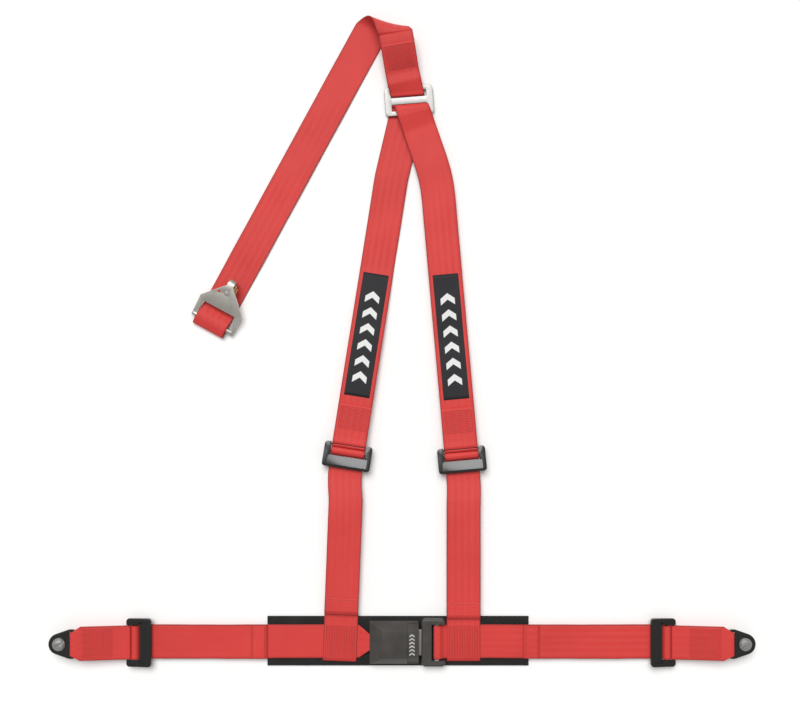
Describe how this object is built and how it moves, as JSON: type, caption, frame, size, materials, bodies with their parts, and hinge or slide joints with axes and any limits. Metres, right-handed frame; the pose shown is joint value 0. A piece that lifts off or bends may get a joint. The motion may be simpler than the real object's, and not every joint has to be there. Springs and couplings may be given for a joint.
{
  "type": "racing harness",
  "caption": "Three-point racing harness with a push-button buckle on a lap pad, sliding adjusters, twin shoulder straps joined at a yoke plate and a rear strap with a snap hook.",
  "frame": {"origin": "middle of the buckle pad's underside", "axes": "+X along the lap belt, +Y up the shoulder straps towards the rear strap, +Z away from the wearer, up off the surface it lies on"},
  "size_m": [1.038, 0.9613, 0.0296],
  "materials": {
    "webbing": "satin",
    "label_cloth": "matte",
    "pad_cloth": "matte",
    "black_enamel": "gloss",
    "buckle_plastic": "matte",
    "bright_steel": "satin",
    "zinc_plate": "satin",
    "gold_zinc": "satin"
  },
  "bodies": {
    "buckle": {"buckle_pad": "pad_cloth", "buckle_lower_cover": "buckle_plastic", "buckle_upper_cover": "buckle_plastic", "buckle_frame": "bright_steel", "buckle_screws": "bright_steel", "button_spring": "bright_steel", "ejector_spring": "bright_steel", "left_lap_strap": "webbing", "left_lower_strap": "webbing"},
    "button": {"release_button": "buckle_plastic"},
    "latch": {"latch_plate": "bright_steel"},
    "ejector_block": {"ejector": "buckle_plastic"},
    "tongue": {"tongue_plate": "bright_steel", "tongue_cover": "buckle_plastic", "right_lap_strap": "webbing", "right_lower_strap": "webbing"},
    "shoulders": {"upper_strap": "webbing", "left_label": "label_cloth", "right_label": "label_cloth"},
    "yoke": {"yoke_plate": "bright_steel"},
    "rear": {"rear_strap": "webbing"},
    "rear_hook": {"rear_bracket": "zinc_plate", "gate_rivet": "zinc_plate"},
    "gate": {"hook_gate": "gold_zinc"},
    "left_link": {"left_connecting_strap": "webbing"},
    "left_lap_frame": {"left_lap_adjuster": "black_enamel", "left_lap_turn": "webbing"},
    "left_lap_tail_end": {"left_lap_tail": "webbing"},
    "left_anchor": {"left_anchor_plate": "black_enamel"},
    "left_bolt": {"left_anchor_bolt": "bright_steel", "left_bolt_washer": "bright_steel"},
    "right_link": {"right_connecting_strap": "webbing"},
    "right_lap_frame": {"right_lap_adjuster": "black_enamel", "right_lap_turn": "webbing"},
    "right_lap_tail_end": {"right_lap_tail": "webbing"},
    "right_anchor": {"right_anchor_plate": "black_enamel"},
    "right_bolt": {"right_anchor_bolt": "bright_steel", "right_bolt_washer": "bright_steel"},
    "left_shoulder_frame": {"left_shoulder_adjuster": "black_enamel", "left_shoulder_turn": "webbing"},
    "left_shoulder_tail_end": {"left_shoulder_tail": "webbing"},
    "right_shoulder_frame": {"right_shoulder_adjuster": "black_enamel", "right_shoulder_turn": "webbing"},
    "right_shoulder_tail_end": {"right_shoulder_tail": "webbing"}
  },
  "joints": [
    {"name": "button_press", "type": "slide", "parent": "buckle", "child": "button", "axis": [-1, 0, 0], "range_m": [0, 0.005], "stiffness_N_per_m": 400},
    {"name": "latch_lift", "type": "hinge", "parent": "buckle", "child": "latch", "pos_m": [-0.012, 0, 0.0148], "axis": [0, -1, 0], "range_deg": [0, 12.6]},
    {"name": "tongue_release", "type": "slide", "parent": "buckle", "child": "tongue", "axis": [1, 0, 0], "range_m": [0, 0.034]},
    {"name": "ejector_slide", "type": "slide", "parent": "buckle", "child": "ejector_block", "axis": [1, 0, 0], "range_m": [0, 0.0086]},
    {"name": "left_lap_adjust", "type": "slide", "parent": "buckle", "child": "left_link", "axis": [-1, 0, 0], "range_m": [-0.05, 0.08]},
    {"name": "left_lap_tail_feed", "type": "slide", "parent": "left_link", "child": "left_lap_tail_end", "axis": [-1, 0, 0], "range_m": [-0.05, 0.08]},
    {"name": "left_lap_adjuster_tilt", "type": "hinge", "parent": "left_link", "child": "left_lap_frame", "pos_m": [-0.3975, 0, 0.0119], "axis": [0, -1, 0], "range_deg": [0, 35]},
    {"name": "left_anchor_pivot", "type": "hinge", "parent": "left_link", "child": "left_anchor", "pos_m": [-0.4765, 0, 0.0208], "axis": [0, 1, 0], "range_deg": [-40, 45]},
    {"name": "left_bolt_spin", "type": "hinge", "parent": "left_anchor", "child": "left_bolt", "pos_m": [-0.4975, 0, 0.0193], "axis": [0, 0, -1], "continuous": true},
    {"name": "right_lap_adjust", "type": "slide", "parent": "tongue", "child": "right_link", "axis": [1, 0, 0], "range_m": [-0.05, 0.08]},
    {"name": "right_lap_tail_feed", "type": "slide", "parent": "right_link", "child": "right_lap_tail_end", "axis": [1, 0, 0], "range_m": [-0.05, 0.08]},
    {"name": "right_lap_adjuster_tilt", "type": "hinge", "parent": "right_link", "child": "right_lap_frame", "pos_m": [0.4065, 0, 0.0119], "axis": [0, 1, 0], "range_deg": [0, 35]},
    {"name": "right_anchor_pivot", "type": "hinge", "parent": "right_link", "child": "right_anchor", "pos_m": [0.4885, 0, 0.0208], "axis": [0, -1, 0], "range_deg": [-40, 45]},
    {"name": "right_bolt_spin", "type": "hinge", "parent": "right_anchor", "child": "right_bolt", "pos_m": [0.5095, 0, 0.0193], "axis": [0, 0, -1], "continuous": true},
    {"name": "shoulder_adjust", "type": "slide", "parent": "buckle", "child": "shoulders", "axis": [0, 1, 0], "range_m": [-0.05, 0.08]},
    {"name": "left_shoulder_adjuster_tilt", "type": "hinge", "parent": "shoulders", "child": "left_shoulder_frame", "pos_m": [-0.0725, 0.29, 0.0135], "axis": [-0.9878, 0.1557, 0], "range_deg": [0, 35]},
    {"name": "left_shoulder_tail_feed", "type": "slide", "parent": "shoulders", "child": "left_shoulder_tail_end", "axis": [0, 1, 0], "range_m": [-0.05, 0.08]},
    {"name": "right_shoulder_adjuster_tilt", "type": "hinge", "parent": "shoulders", "child": "right_shoulder_frame", "pos_m": [0.093, 0.285, 0.0135], "axis": [-0.9961, -0.0882, 0], "range_deg": [0, 35]},
    {"name": "right_shoulder_tail_feed", "type": "slide", "parent": "shoulders", "child": "right_shoulder_tail_end", "axis": [0, 1, 0], "range_m": [-0.05, 0.08]},
    {"name": "yoke_tilt", "type": "hinge", "parent": "shoulders", "child": "yoke", "pos_m": [0.01783, 0.78381, 0.0056], "axis": [0.9969, 0.0785, 0], "range_deg": [0, 60]},
    {"name": "rear_strap_swing", "type": "hinge", "parent": "yoke", "child": "rear", "pos_m": [0.01497, 0.82019, 0.0056], "axis": [-0.9969, -0.0785, 0], "range_deg": [0, 60]},
    {"name": "rear_bracket_flip", "type": "hinge", "parent": "rear", "child": "rear_hook", "pos_m": [-0.2745, 0.4725, 0.007], "axis": [0.8788, -0.4772, 0], "range_deg": [0, 150]},
    {"name": "gate_swing", "type": "hinge", "parent": "rear_hook", "child": "gate", "pos_m": [-0.25145, 0.51494, 0.01994], "axis": [-0.1235, -0.2275, 0.9659], "range_deg": [-40, 0], "stiffness_Nm_per_rad": 0.02}
  ],
  "couplings": [
    {"joint": "latch_lift", "follows": "button_press", "rad_per_m": 43.633},
    {"joint": "ejector_slide", "follows": "tongue_release", "ratio": 0.25},
    {"joint": "left_lap_tail_feed", "follows": "left_lap_adjust", "ratio": 1},
    {"joint": "right_lap_tail_feed", "follows": "right_lap_adjust", "ratio": 1},
    {"joint": "left_shoulder_tail_feed", "follows": "shoulder_adjust", "ratio": 1},
    {"joint": "right_shoulder_tail_feed", "follows": "shoulder_adjust", "ratio": 1}
  ]
}
